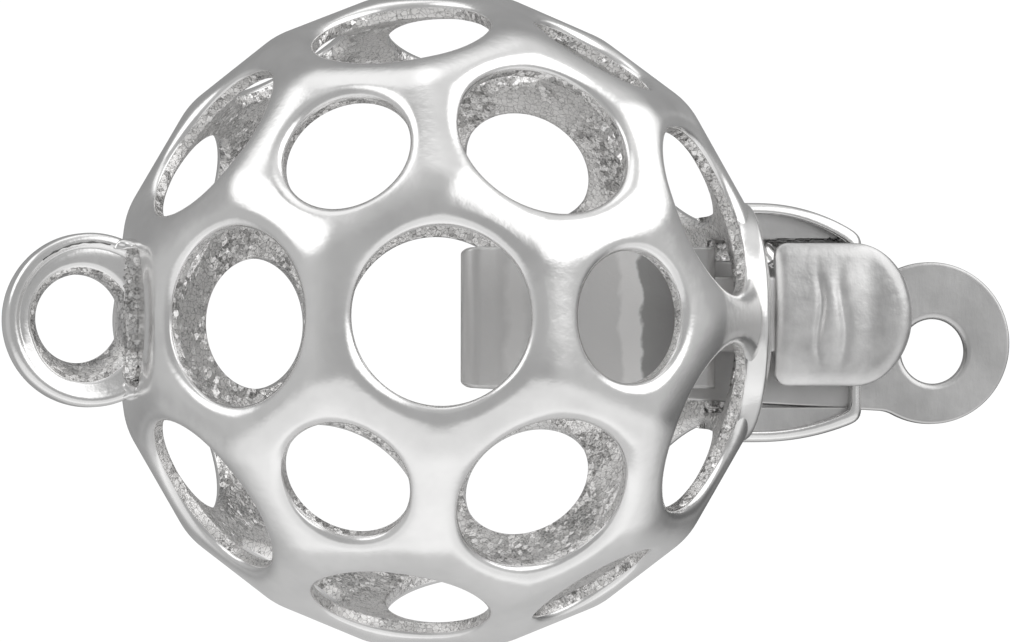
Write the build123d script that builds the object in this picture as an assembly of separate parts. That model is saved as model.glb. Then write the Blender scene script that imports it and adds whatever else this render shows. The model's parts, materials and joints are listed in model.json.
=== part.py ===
# Bead clasp: a pierced metal ball with a thread ring cast on one end, and a
# folded spring tongue with an end ring and a thumb tab that slides into the
# slot at the other end. The ball is a truncated icosahedron with soft ridges
# and a hole in each face, and it lies on a table on one of its hexagons.
# Millimetres, +Z up, +X along the clasp, origin under the middle of the part.

from build123d import *
from math import acos, asin, atan, cos, degrees, radians, sqrt, tan
import os

# The ball and its holes
ball_diameter = 10.0
ridge_round = 1.3
ball_wall = 0.34
large_rim_width = 0.447
small_rim_width = 0.419
hole_edge_round = 0.14
hole_edge_lift = 0.01

# The plate and the thread ring at the left end
plate_radius = 1.2
plate_recess = 0.068
plate_thickness = 0.36
thread_ring_radius = 1.34
thread_ring_stand = 0.49
thread_bore_radius = 0.68
thread_bore_offset = 0.16
thread_ring_thickness = 0.65
thread_ring_round = 0.24
thread_bore_round = 0.08

# The collar and its slot at the right end
collar_wall = 0.44
collar_proud = 0.15
collar_round = 0.07
slot_low = -0.95
slot_high = 0.15
slot_room_front = 0.38
slot_room_back = 0.12
slot_corner = 0.1

# The strip that is folded into the tongue
strip_thickness = 0.22
strip_width = 2.18
strip_side = 0.06
strip_under = 0.04
fold_inner_radius = 0.06
fold_end = 0.48
fold_straight = 0.2

# The end ring of the lower leaf
end_ring_radius = 1.254
end_ring_stand = 2.77
end_ring_side = -0.302
end_bore_radius = 0.5
end_bore_offset = 0.042
end_bore_side_offset = -0.129
end_bore_chamfer = 0.06
end_neck_flare = 0.5

# The D-shaped cup that stops the tongue at the collar
cup_gap = 0.04
cup_root_setback = 0.55
cup_length = 1.63
cup_taper_back = 0.5
cup_taper_front = 0.35
cup_wall = 0.17
cup_floor = 0.44
cup_depth = 0.25
cup_corner = 0.35
cup_pocket_corner = 0.25
channel_side = 0.03

# The lever: upper leaf, neck and thumb tab
lever_gap = 0.03
shoulder_setback = 0.26
lip_clearance = 0.03
neck_width = 1.16
neck_side = 0.12
neck_overlap = 0.38
tab_stand = 0.11
tab_length = 2.18
tab_width = 2.21
tab_side = 0.12
tab_oval_length = 0.92
tab_corner = 0.22
tab_thickness = 0.3
tab_drop = 0.1
tab_edge_round = 0.13
groove_radius = 0.12
groove_depth = 0.05
groove_length = 1.56
groove_offsets = (0.735, 1.1)
dip_radius = 0.6
dip_depth = 0.05
dip_offset = 1.5

# Values that follow from the sizes above
ball_radius = ball_diameter / 2
inner_radius = ball_radius - ball_wall
collar_face = ball_radius + collar_proud
collar_root = ball_radius - ball_wall / 2
small_ring_polar = degrees(atan(2))
large_ring_polar = degrees(acos(sqrt((5 + 2 * sqrt(5)) / 15)))
large_belt_polar = degrees(acos(sqrt((5 - 2 * sqrt(5)) / 15)))
hexagon_tilt = (large_belt_polar - large_ring_polar) / 2
pentagon_tilt = large_ring_polar - hexagon_tilt
ridge_core = ball_radius - ridge_round
hexagon_face = ridge_core * cos(radians(hexagon_tilt)) + ridge_round
pentagon_face = ridge_core * cos(radians(pentagon_tilt)) + ridge_round
large_hole_radius = hexagon_face * tan(radians(hexagon_tilt)) - large_rim_width
small_hole_radius = pentagon_face * tan(radians(pentagon_tilt)) - small_rim_width
lie_angle = 90 - large_belt_polar
plate_face = pentagon_face - plate_recess
thread_ring_centre = ball_radius + thread_ring_stand
thread_bore_centre = thread_ring_centre + thread_bore_offset
slot_front = strip_side - strip_width / 2 - slot_room_front
slot_back = strip_side + strip_width / 2 + slot_room_back
collar_radius = collar_wall - slot_front
leaf_low = slot_low + strip_under
leaf_top = leaf_low + strip_thickness
fold_outer_radius = fold_inner_radius + strip_thickness
fold_axis_reach = fold_end + fold_outer_radius
fold_axis_height = leaf_low + fold_outer_radius
lever_start = fold_axis_reach + fold_straight + lever_gap
lever_start_top = fold_axis_height + fold_outer_radius
shoulder_reach = inner_radius - shoulder_setback
shoulder_top = slot_high - lip_clearance
tab_start = collar_face + tab_stand
tab_end = tab_start + tab_length
tab_low = shoulder_top - tab_drop
neck_reach = tab_start + neck_overlap
cup_bottom = leaf_top - cup_floor
cup_floor_top = leaf_top + channel_side
cup_rim = cup_floor_top + cup_depth
cup_start = collar_face - cup_root_setback
cup_end = collar_face + cup_length
cup_end_back = collar_radius - cup_taper_back
cup_end_front = cup_taper_front - collar_radius
end_ring_reach = collar_face + end_ring_stand
end_bore_reach = end_ring_reach + end_bore_offset
end_bore_side = end_ring_side + end_bore_side_offset
leaf_skew = degrees(atan((end_ring_side - strip_side) / (end_ring_reach - fold_axis_reach)))

FROM_LOW = (Align.CENTER, Align.CENTER, Align.MIN)


def block(x_low, x_high, y_low, y_high, z_low, z_high):
    """A box between two corners."""
    size = (x_high - x_low, y_high - y_low, z_high - z_low)
    box = Box(*size, align=(Align.MIN, Align.MIN, Align.MIN))
    return Pos(x_low, y_low, z_low) * box


def rod(radius, x_low, x_high):
    """A cylinder along the clasp's axis."""
    cylinder = Cylinder(radius, x_high - x_low, align=FROM_LOW)
    return Pos(x_low, 0, 0) * Rot(0, 90, 0) * cylinder


def hole_sites():
    """Polar angle from the right end, azimuth from the top, hole radius and face."""
    rings = (
        (small_ring_polar, 0, small_hole_radius, pentagon_face),
        (180 - small_ring_polar, 36, small_hole_radius, pentagon_face),
        (large_ring_polar, 36, large_hole_radius, hexagon_face),
        (large_belt_polar, 36, large_hole_radius, hexagon_face),
        (180 - large_belt_polar, 0, large_hole_radius, hexagon_face),
        (180 - large_ring_polar, 0, large_hole_radius, hexagon_face),
    )
    return [
        (polar, first + 72 * step, radius, face)
        for polar, first, radius, face in rings
        for step in range(5)
    ]


def turned_to(polar, azimuth, shape):
    """A shape drawn along the axis, turned to face one site of the ball."""
    return Rot(azimuth, 0, 0) * Rot(0, -polar, 0) * shape


def soft_ball():
    """The solid ball: a truncated icosahedron with its ridges rounded."""
    ends = [(0, 0, 0, pentagon_face), (180, 0, 0, pentagon_face)]
    half = ball_diameter
    beyond = [
        turned_to(polar, azimuth, block(face, 2 * half, -half, half, -half, half))
        for polar, azimuth, _, face in hole_sites() + ends
    ]
    return fillet((Box(2 * half, 2 * half, 2 * half) - beyond).edges(), ridge_round)


def hole_cutter(radius, face):
    """A drill for one hole, flared at the face so that the hole's edge is round."""
    start = inner_radius / 2
    flare_end = face + hole_edge_lift
    flare_start = flare_end - hole_edge_round
    flare_radius = radius + hole_edge_round
    outline = [
        Polyline((flare_start, radius), (start, radius), (start, 0)),
        Line((start, 0), (ball_diameter, 0)),
        Polyline((ball_diameter, 0), (ball_diameter, flare_radius), (flare_end, flare_radius)),
        TangentArc((flare_start, radius), (flare_end, flare_radius), tangent=(1, 0)),
    ]
    return revolve(make_face(outline), Axis.X)


def pierced_ball():
    """The hollow ball with its thirty open holes."""
    drills = [
        turned_to(polar, azimuth, hole_cutter(radius, face))
        for polar, azimuth, radius, face in hole_sites()
    ]
    return soft_ball() - Sphere(inner_radius) - drills


def left_end():
    """The flat plate in the left end and the thread ring on it."""
    shell = Sphere(ball_radius) - Sphere(inner_radius - ball_wall)
    plate = rod(plate_radius + ball_wall / 2, -plate_face, -plate_face + plate_thickness) & shell
    ring = Pos(-thread_ring_centre, 0, 0) * Cylinder(thread_ring_radius, thread_ring_thickness)
    half = thread_ring_radius
    ring += Pos(-thread_ring_centre / 2, 0, 0) * Box(
        thread_ring_centre, 2 * half, thread_ring_thickness
    )
    ring = fillet(ring.faces().sort_by(Axis.Z)[-1].edges(), thread_ring_round)
    ring = fillet(ring.faces().sort_by(Axis.Z)[0].edges(), thread_ring_round)
    bore = Pos(-thread_bore_centre, 0, 0) * Cylinder(thread_bore_radius, thread_ring_thickness)
    ring -= bore
    bore_edges = [
        edge
        for edge in ring.edges().filter_by(GeomType.CIRCLE)
        if abs(edge.radius - thread_bore_radius) < 1e-6
    ]
    ring = fillet(bore_edges, thread_bore_round)
    reach = thread_ring_radius + thread_ring_centre
    inner_end = -plate_face + plate_thickness / 2
    ring &= block(-reach, inner_end, -half, half, -half, half)
    return plate, ring


def collar():
    """The thick cap that carries the slot."""
    edge_angle = degrees(asin(collar_radius / collar_face))
    root_angle = degrees(asin(collar_radius / collar_root))
    outer = CenterArc((0, 0), collar_face, 0, edge_angle)
    root = CenterArc((0, 0), collar_root, 0, root_angle)
    side = Line(root @ 1, outer @ 1)
    axis_line = Line(root @ 0, outer @ 0)
    section = make_face([outer, side, root, axis_line])
    section = fillet(section.vertices().sort_by_distance(outer @ 1)[0], collar_round)
    return revolve(section, Axis.X)


def slot():
    """The cutter for the slot in the collar."""
    opening = block(ball_radius / 2, collar_face * 2, slot_front, slot_back, slot_low, slot_high)
    return fillet(opening.edges().filter_by(Axis.X), slot_corner)


def cage():
    """Ball, collar, plate and thread ring, which are one casting."""
    plate, ring = left_end()
    recess = rod(plate_radius, -ball_diameter, -plate_face)
    body = pierced_ball() + collar() - recess
    return body + plate + ring - slot()


def cup_outline(inset, corner):
    """The D-shaped outline of the cup, drawn inwards by the inset."""
    side = collar_radius - inset
    end = cup_end - inset
    back = (end, cup_end_back - inset)
    front = (end, cup_end_front + inset)
    lines = [
        Polyline((collar_face, side), (cup_start, side), (cup_start, -side), (collar_face, -side)),
        TangentArc((collar_face, side), back, tangent=(1, 0)),
        Line(back, front),
        TangentArc((collar_face, -side), front, tangent=(1, 0)),
    ]
    face = make_face(lines)
    corners = [vertex for vertex in face.vertices() if vertex.X > end - 1e-6]
    return fillet(corners, corner)


def cup():
    """The cup: a D-shaped tray with a rim, cut to follow the collar."""
    height = cup_rim - cup_bottom
    tray = Pos(0, 0, cup_bottom) * extrude(cup_outline(0, cup_corner), height)
    inside = extrude(cup_outline(cup_wall, cup_pocket_corner), height)
    pocket = Pos(0, 0, cup_floor_top) * inside
    channel = block(cup_start, cup_end, slot_front, slot_back, leaf_low, cup_rim)
    channel &= Pos(0, 0, leaf_low) * inside
    return tray - pocket - channel - Sphere(collar_face + cup_gap)


def lower_leaf():
    """The lower leaf with its end ring, turned a little to the front."""
    length = end_ring_reach - fold_axis_reach
    strip = Pos(length / 2, 0) * Rectangle(length, strip_width)
    strip = Pos(fold_axis_reach, strip_side) * Rot(0, 0, leaf_skew) * strip
    disc = Pos(end_ring_reach, end_ring_side) * Circle(end_ring_radius)
    outline = strip + disc
    inner_corners = [
        vertex
        for vertex in outline.vertices()
        if (fold_axis_reach + end_ring_reach) / 2 < vertex.X < end_ring_reach
    ]
    outline = fillet(inner_corners, end_neck_flare)
    leaf = Pos(0, 0, leaf_low) * extrude(outline, strip_thickness)
    bend_end = fold_axis_reach + fold_straight / 2
    leaf -= block(0, bend_end, -strip_width, strip_width, leaf_low, leaf_top)
    bore = Pos(end_bore_reach, end_bore_side, leaf_low) * Cylinder(
        end_bore_radius, strip_thickness, align=FROM_LOW
    )
    leaf -= bore
    rim = [
        edge
        for edge in leaf.edges().filter_by(GeomType.CIRCLE)
        if abs(edge.radius - end_bore_radius) < 1e-6
    ]
    return chamfer(rim, end_bore_chamfer)


def fold():
    """The bend of the strip and the short straight stretch on each side."""
    y_low = strip_side - strip_width / 2
    y_high = strip_side + strip_width / 2
    bend = Pos(fold_axis_reach, strip_side, fold_axis_height) * Rot(90, 0, 0) * (
        Cylinder(fold_outer_radius, strip_width) - Cylinder(fold_inner_radius, strip_width)
    )
    bend -= block(fold_axis_reach, ball_radius, y_low, y_high, -ball_radius, ball_radius)
    straight_end = fold_axis_reach + fold_straight
    low = block(fold_axis_reach, straight_end, y_low, y_high, leaf_low, leaf_top)
    high = block(
        fold_axis_reach,
        straight_end,
        y_low,
        y_high,
        lever_start_top - strip_thickness,
        lever_start_top,
    )
    return bend + low + high


def tongue():
    """Lower leaf, fold, end ring and cup, soldered into one."""
    return fold() + lower_leaf() + cup()


def upper_leaf():
    """The sloping leaf and the flat neck, cut to their widths."""
    profile = Polyline(
        (lever_start, lever_start_top),
        (shoulder_reach, shoulder_top),
        (neck_reach, shoulder_top),
        (neck_reach, shoulder_top - strip_thickness),
        (shoulder_reach, shoulder_top - strip_thickness),
        (lever_start, lever_start_top - strip_thickness),
        close=True,
    )
    section = Plane.XZ * make_face(profile)
    sheet = extrude(section, strip_width, both=True)
    y_low = strip_side - strip_width / 2
    y_high = strip_side + strip_width / 2
    wide = block(lever_start, shoulder_reach, y_low, y_high, -ball_radius, ball_radius)
    neck_low = neck_side - neck_width / 2
    neck_high = neck_side + neck_width / 2
    narrow = block(lever_start, neck_reach, neck_low, neck_high, -ball_radius, ball_radius)
    return sheet & (wide + narrow)


def thumb_tab():
    """The thumb tab with its two pressed grooves and broad dip."""
    oval_centre = tab_end - tab_oval_length
    straight = oval_centre - tab_start
    plan = Pos(tab_start + straight / 2, tab_side) * Rectangle(straight, tab_width)
    plan += Pos(oval_centre, tab_side) * Ellipse(tab_oval_length, tab_width / 2)
    corners = [vertex for vertex in plan.vertices() if vertex.X < tab_start + 1e-6]
    plan = fillet(corners, tab_corner)
    pad = Pos(0, 0, tab_low) * extrude(plan, tab_thickness)
    pad = fillet(pad.faces().sort_by(Axis.Z)[-1].edges(), tab_edge_round)
    top = tab_low + tab_thickness
    for offset in groove_offsets:
        groove = Rot(90, 0, 0) * Cylinder(groove_radius, groove_length)
        pad -= Pos(tab_start + offset, tab_side, top + groove_radius - groove_depth) * groove
    dip = Rot(90, 0, 0) * Cylinder(dip_radius, tab_width * 2)
    return pad - Pos(tab_start + dip_offset, tab_side, top + dip_radius - dip_depth) * dip


def lever():
    """Upper leaf, neck and thumb tab."""
    return upper_leaf() + thumb_tab()


def lie_down(shapes):
    """Turn the clasp onto the rim of its lowest large hole and centre it."""
    turned = [Rot(0, lie_angle, 0) * shape for shape in shapes]
    boxes = [shape.bounding_box() for shape in turned]
    left = min(box.min.X for box in boxes)
    right = max(box.max.X for box in boxes)
    front = min(box.min.Y for box in boxes)
    back = max(box.max.Y for box in boxes)
    low = min(box.min.Z for box in boxes)
    shift = Pos(-(left + right) / 2, -(front + back) / 2, -low)
    return shift, [shift * shape for shape in turned]


def print_place(name, reach, side, height):
    """Print where a point of the clasp lies in the part's own frame."""
    spot = (shift * Rot(0, lie_angle, 0) * Pos(reach, side, height)).position
    print(f"{name}: {spot.X:.4f} {spot.Y:.4f} {spot.Z:.4f} mm")


shapes = {"ball_cage": cage(), "tongue": tongue(), "thumb_lever": lever()}
shift, placed = lie_down(shapes.values())

os.makedirs("parts", exist_ok=True)
for name, shape in zip(shapes, placed):
    shape.label = name
    export_step(shape, f"parts/{name}.step")
    print(f"{name}: {shape.volume:.3f} mm3, {len(shape.solids())} solid")

print_place("ball centre", 0, 0, 0)
print_place("thread bore", -thread_bore_centre, 0, 0)
print_place("end bore", end_bore_reach, end_bore_side, leaf_low + strip_thickness / 2)
print_place("lever hinge", lever_start, strip_side, lever_start_top - strip_thickness / 2)
print(f"clasp axis leans down by {lie_angle:.3f} degrees")
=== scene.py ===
import json
from math import acos, asin, atan, atan2, cos, degrees, pi, radians, sin, sqrt

import bmesh
import bpy
import numpy as np
from mathutils import Matrix, Vector


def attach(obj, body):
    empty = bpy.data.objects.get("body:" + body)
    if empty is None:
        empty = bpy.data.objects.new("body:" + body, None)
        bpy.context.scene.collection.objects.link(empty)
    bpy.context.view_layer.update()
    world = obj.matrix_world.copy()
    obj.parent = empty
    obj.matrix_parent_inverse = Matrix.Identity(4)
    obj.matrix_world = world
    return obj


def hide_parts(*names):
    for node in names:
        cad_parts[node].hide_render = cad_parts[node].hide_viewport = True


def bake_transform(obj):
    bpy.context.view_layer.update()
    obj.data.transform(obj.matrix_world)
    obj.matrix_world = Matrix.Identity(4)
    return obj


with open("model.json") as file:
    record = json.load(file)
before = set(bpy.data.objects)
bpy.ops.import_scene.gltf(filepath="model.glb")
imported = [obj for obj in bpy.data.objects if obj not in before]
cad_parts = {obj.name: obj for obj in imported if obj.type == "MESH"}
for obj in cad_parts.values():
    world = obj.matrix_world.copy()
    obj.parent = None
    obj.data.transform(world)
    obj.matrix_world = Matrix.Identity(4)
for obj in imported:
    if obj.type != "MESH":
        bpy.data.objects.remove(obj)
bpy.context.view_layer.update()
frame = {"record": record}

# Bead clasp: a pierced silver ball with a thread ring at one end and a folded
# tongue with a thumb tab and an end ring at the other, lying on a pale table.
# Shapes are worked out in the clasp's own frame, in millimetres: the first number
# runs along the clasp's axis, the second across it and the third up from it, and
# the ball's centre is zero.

MM = 0.001

# Sizes of the ball and its holes
ball_radius = 5.0
ridge_round = 1.3
inner_radius = 4.66
large_hole = 1.37
small_hole = 1.0145
large_edge_spread = 0.27
small_edge_spread = 0.2
hole_edge_drop = 0.13
inner_edge_round = 0.05
plate_radius = 1.2
plate_face = 4.78
plate_back = 4.42
plate_edge_round = 0.03
plate_root = 0.06

# Sizes of the collar and its slot
collar_face = 5.15
collar_radius = 1.85
collar_round = 0.1
collar_flare = 0.5
collar_foot = 4.86
collar_inside = 4.655
collar_back = 4.7
collar_back_lap = 0.04
slot_front = -1.41
slot_back = 1.27
slot_low = -0.95
slot_high = 0.15
slot_corner = 0.1
slot_edge_round = 0.03
slot_margin = 0.012

# Sizes of the thread ring
thread_ring_centre = 5.49
thread_ring_radius = 1.34
thread_bore_centre = 5.65
thread_bore_radius = 0.68
thread_ring_thickness = 0.65
thread_ring_round = 0.26
thread_bore_round = 0.08
thread_rim = 0.22
thread_bar = 5.02
flank_lean = 0.07
thread_ring_side = -0.02
thread_root = 4.6
thread_bevel = 0.2
ring_seam_turns = (76, 130)

# Sizes of the folded strip and its end ring
strip_thickness = 0.22
strip_edge_round = 0.05
strip_width = 2.18
strip_side = 0.06
leaf_low = -0.91
leaf_top = -0.69
leaf_edge_round = 0.035
fold_reach = 0.76
fold_height = -0.63
fold_middle_radius = 0.17
fold_narrowing = 0.07
blend_low = -0.76
blend_high = -0.5
lever_start = 0.99
shoulder_reach = 4.4
shoulder_top = 0.12
neck_reach = 5.6
neck_width = 1.16
neck_side = 0.12
neck_lap = 0.3
neck_thickness = 0.216
end_ring_reach = 7.92
end_ring_side = -0.302
end_ring_radius = 1.254
end_neck_flare = 0.5
end_bore_reach = 7.962
end_bore_side = -0.431
end_bore_radius = 0.5
end_bore_bevel = 0.085

# Sizes of the thumb tab
tab_start = 5.26
tab_end = 7.44
tab_low = 0.02
tab_top = 0.32
tab_side = 0.12
tab_width = 2.21
tab_oval_length = 0.92
tab_corner = 0.22
tab_edge_round = 0.2
tab_crown = 1.05
tab_dome_across = 0.1
tab_dome_along = 0.04

# Sizes of the cup
cup_end = 6.78
cup_end_back = 1.35
cup_end_front = -1.5
cup_bottom = -1.13
cup_rim = -0.41
cup_wall = 0.17
cup_floor_top = -0.66
cup_corner = 0.35
cup_gap = 0.04
cup_floor_side = 1.6
ledge_side = 1.75
ledge_low = -0.93
front_ledge_inner = -1.3
slab_inset = 0.06
rim_outer_drop = 0.12
rim_inner_drop = 0.03
# Where the painted shade lies in the gap along the cup's back ledge
cup_painted_shade_start = 5.33
cup_painted_shade_end = 6.46
cup_painted_shade_side = 1.255

# The studio's light: the tent's own, and its soft boxes. Each box has its middle and
# its half sizes on the half-way circle between its own direction and straight up,
# its turn in degrees, its softness and its strength, which is below zero for a dark card.
TENT_LIGHT = 0.42
SOFT_BOXES = (
    ((0.45, 0.34), (0.33, 0.28), 30, 0.16, 1.0),
    ((-0.5, 0.385), (0.18, 0.23), -25, 0.25, 0.95),
    ((-0.15, 0.7), (0.31, 0.11), 13, 0.35, 0.58),
    ((0.2, 0.66), (0.36, 0.18), -6, 0.4, 0.34),
    ((-0.1, 0.45), (0.34, 0.13), 0, 0.5, 0.1),
    ((0.02, -0.4), (0.75, 0.25), 0, 0.22, 0.4),
    ((0.03, -0.85), (0.8, 0.38), 0, 0.4, 0.22),
    ((-0.66, -0.02), (0.3, 0.24), 0, 0.5, 0.12),
    ((0.55, -0.04), (0.22, 0.24), 0, 0.5, 0.14),
    ((0.88, -0.36), (0.2, 0.34), 0, 0.5, -0.2),
)
# The rim shade dims the table's light close to the clasp: painted shade, seen in the metal
RIM_SHADE = 0.13
RIM_START = 0.8

# Greys of bands by their place along the upper leaf: scuffs, tarnish, painted highlights and shade
STRIP_BANDS = (
    (0.18, 0.76),
    (0.215, 0.9),
    (0.26, 0.9),
    (0.3, 0.78),
    (0.69, 0.8),
    (0.71, 0.97),
    (0.785, 0.97),
    (0.8, 0.4),
    (0.93, 0.3),
    (1.0, 0.6),
)

# The photograph's view: the camera's lean as a turn vector, the pixels to the mm, and in
# pixels the frame's width, its middle from the ball's centre and the camera's distance
CAMERA_LEAN = (-0.0153, 0.01202, -0.00174)
PHOTO_SCALE = 64.914
PHOTO_WIDTH = 1010
FRAME_MIDDLE = (66.4384, -0.52962)
CAMERA_DISTANCE = 25000
SENSOR_WIDTH = 36

# The table: half its side, and the height over it of the point from which it shows the
# studio's light, both in metres, and how white the camera sees it
TABLE_HALF = 0.4
MIRROR_HEIGHT = 0.01
TABLE_WHITE = 1.05

# The clasp's frame, from the thread ring's mount
mounts = {mount["name"]: mount for mount in frame["record"]["mounts"]}
clasp_up = Vector(mounts["thread_ring"]["axis"]).normalized()
clasp_along = Vector((clasp_up.z, 0.0, -clasp_up.x))
ball_centre = Vector(mounts["thread_ring"]["pos_m"]) + clasp_along * thread_bore_centre * MM
axes = np.array([clasp_along, (0.0, 1.0, 0.0), clasp_up])
origin = np.array(ball_centre)


def in_part(points):
    """Points of the clasp's frame in mm as points of the part in metres."""
    return origin + MM * np.asarray(points, float) @ axes


def make_piece(name, points, faces, materials, face_material=None):
    """A smooth mesh object from points in the clasp's frame."""
    mesh = bpy.data.meshes.new(name)
    mesh.from_pydata(in_part(points).tolist(), [], [tuple(int(i) for i in f) for f in faces])
    for material in materials:
        mesh.materials.append(material)
    if face_material is not None:
        mesh.polygons.foreach_set("material_index", np.asarray(face_material, np.int32))
    bm = bmesh.new()
    bm.from_mesh(mesh)
    bmesh.ops.remove_doubles(bm, verts=bm.verts, dist=2e-7)
    bmesh.ops.recalc_face_normals(bm, faces=bm.faces)
    for face in bm.faces:
        face.smooth = True
    bm.to_mesh(mesh)
    bm.free()
    mesh.update()
    piece = bpy.data.objects.new(name, mesh)
    bpy.context.scene.collection.objects.link(piece)
    return piece


def ring_faces(rows, closed=True, first=0):
    """Faces between rows of points of one length, counted from a first point."""
    count = len(rows[0])
    faces = []
    last = count if closed else count - 1
    for row in range(len(rows) - 1):
        low = first + row * count
        high = low + count
        for i in range(last):
            j = (i + 1) % count
            faces.append((low + i, low + j, high + j, high + i))
    return faces


def unit(vectors):
    """Each vector divided by its length."""
    return vectors / np.linalg.norm(vectors, axis=-1, keepdims=True)


def at_level(flat, level):
    """Flat points with their height added, which is one number or one for each point."""
    return np.column_stack([flat, np.full(len(flat), level)])


def line_points(start, end, count):
    """Points on a straight line between two points, without its ends."""
    return np.linspace(start, end, count)[1:-1]


def arc_points(centre, radius, first, last, count):
    """Points on a circle between two angles in degrees."""
    turns = np.radians(np.linspace(first, last, count))
    return centre + radius * np.column_stack([np.cos(turns), np.sin(turns)])


# The ball as a truncated icosahedron
small_polar = atan(2)
large_ring_polar = acos(sqrt((5 + 2 * sqrt(5)) / 15))
large_belt_polar = acos(sqrt((5 - 2 * sqrt(5)) / 15))
hexagon_tilt = (large_belt_polar - large_ring_polar) / 2
pentagon_tilt = large_ring_polar - hexagon_tilt
ridge_core = ball_radius - ridge_round
hexagon_core = ridge_core * cos(hexagon_tilt)
pentagon_core = ridge_core * cos(pentagon_tilt)
neighbour_cosine = 0.7


def direction(polar, azimuth):
    """Unit vector at a polar angle from the right end and an azimuth from the top."""
    return np.array([cos(polar), -sin(polar) * sin(azimuth), sin(polar) * cos(azimuth)])


def ball_sites():
    """Direction, core distance and hole radius of each of the ball's 32 faces."""
    small = ((small_polar, 0), (pi - small_polar, 36))
    large = (
        (large_ring_polar, 36),
        (large_belt_polar, 36),
        (pi - large_belt_polar, 0),
        (pi - large_ring_polar, 0),
    )
    sites = []
    groups = ((small, pentagon_core, small_hole), (large, hexagon_core, large_hole))
    for group, core, radius in groups:
        for polar, first in group:
            for step in range(5):
                turn = radians(first + 72 * step)
                sites.append((direction(polar, turn), core, radius, "hole"))
    sites.append((np.array([1.0, 0.0, 0.0]), pentagon_core, small_hole, "collar"))
    sites.append((np.array([-1.0, 0.0, 0.0]), pentagon_core, small_hole, "plate"))
    return sites


def core_corners(sites):
    """Corner points of the core and the three faces that meet at each."""
    corners = []
    count = len(sites)
    normals = [site[0] for site in sites]
    for i in range(count):
        for j in range(i + 1, count):
            if normals[i] @ normals[j] < neighbour_cosine:
                continue
            for k in range(j + 1, count):
                if min(normals[i] @ normals[k], normals[j] @ normals[k]) < neighbour_cosine:
                    continue
                matrix = np.array([normals[i], normals[j], normals[k]])
                spot = np.linalg.solve(matrix, [sites[i][1], sites[j][1], sites[k][1]])
                corners.append((spot, (i, j, k)))
    return corners


def turn_between(start, end, share):
    """The unit vector at a share of the way round from one unit vector to another."""
    angle = acos(max(-1.0, min(1.0, float(start @ end))))
    return (sin((1 - share) * angle) * start + sin(share * angle) * end) / sin(angle)


def cell_border(index, sites, corners):
    """The line round one face of the ball, along the middle of its ridges."""
    out = sites[index][0]
    own = [(spot, faces) for spot, faces in corners if index in faces]
    first = unit(own[0][0] - (own[0][0] @ out) * out)
    second = np.cross(out, first)
    own.sort(key=lambda item: atan2(item[0] @ second, item[0] @ first))
    border = []
    for step, (start, faces) in enumerate(own):
        end, end_faces = own[(step + 1) % len(own)]
        other = [f for f in faces if f in end_faces and f != index][0]
        middle = unit(out + sites[other][0])
        start_way = unit(start)
        end_way = unit(end)
        for share in (0.0, 0.34, 0.68):
            border.append(start + ridge_round * turn_between(start_way, middle, share))
        for share in np.linspace(0, 1, 13):
            border.append(start + share * (end - start) + ridge_round * middle)
        for share in (0.32, 0.66):
            border.append(end + ridge_round * turn_between(middle, end_way, share))
    flat = [spot - (spot @ out) * out for spot, _ in own]
    return np.array(border), np.array(flat), first, second


def polygon_distance(points, polygon):
    """How far each flat point lies outside a convex polygon."""
    best = np.full(len(points), 1e9)
    inside = np.ones(len(points), bool)
    count = len(polygon)
    for step in range(count):
        start = polygon[step]
        side = polygon[(step + 1) % count] - start
        length = np.linalg.norm(side)
        side = side / length
        off = points - start
        along = np.clip(off @ side, 0, length)
        best = np.minimum(best, np.linalg.norm(off - along[:, None] * side, axis=1))
        inside &= off[:, 1] * side[0] - off[:, 0] * side[1] > 0
    return np.where(inside, 0.0, best)


def plate_rows(lifted, top):
    """Rows over the plate's edge, face and back, and how many are polished."""
    step = 0.3 * plate_edge_round
    face = [lifted(plate_radius + step, top - step), lifted(plate_radius, top - plate_edge_round)]
    for radius in (plate_radius, plate_radius - 0.02, 0.9, 0.5, 0.02):
        face.append(lifted(radius, plate_face))
    back = [lifted(radius, plate_back) for radius in (0.02, 0.5, 0.9, plate_radius)]
    back.append(lifted(plate_radius + plate_root, plate_back + plate_root))
    return face + back, len(face)


def hole_rows(lifted, height, way, hole, spread):
    """Rows over a hole's rounded edge and down its wall, and how many are polished."""
    edge = []
    for turn in np.radians((12, 24, 36, 48, 60, 75, 90)):
        radius = hole + spread * (1 - sin(turn))
        middle = height(way * radius) - hole_edge_drop * (1 - cos(turn))
        edge.append(lifted(radius, middle))
    reach = hole + inner_edge_round
    level = sqrt((inner_radius + inner_edge_round) ** 2 - reach**2)
    wall = [lifted(hole, middle + share * (level - middle)) for share in (0.5, 1.0)]
    last = atan2(-level, -reach)
    for share in (0.33, 0.66, 1.0):
        turn = -pi + share * (last + pi)
        radius = reach + inner_edge_round * cos(turn)
        wall.append(lifted(radius, level + inner_edge_round * sin(turn)))
    return edge + wall, len(edge) - 1


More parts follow.
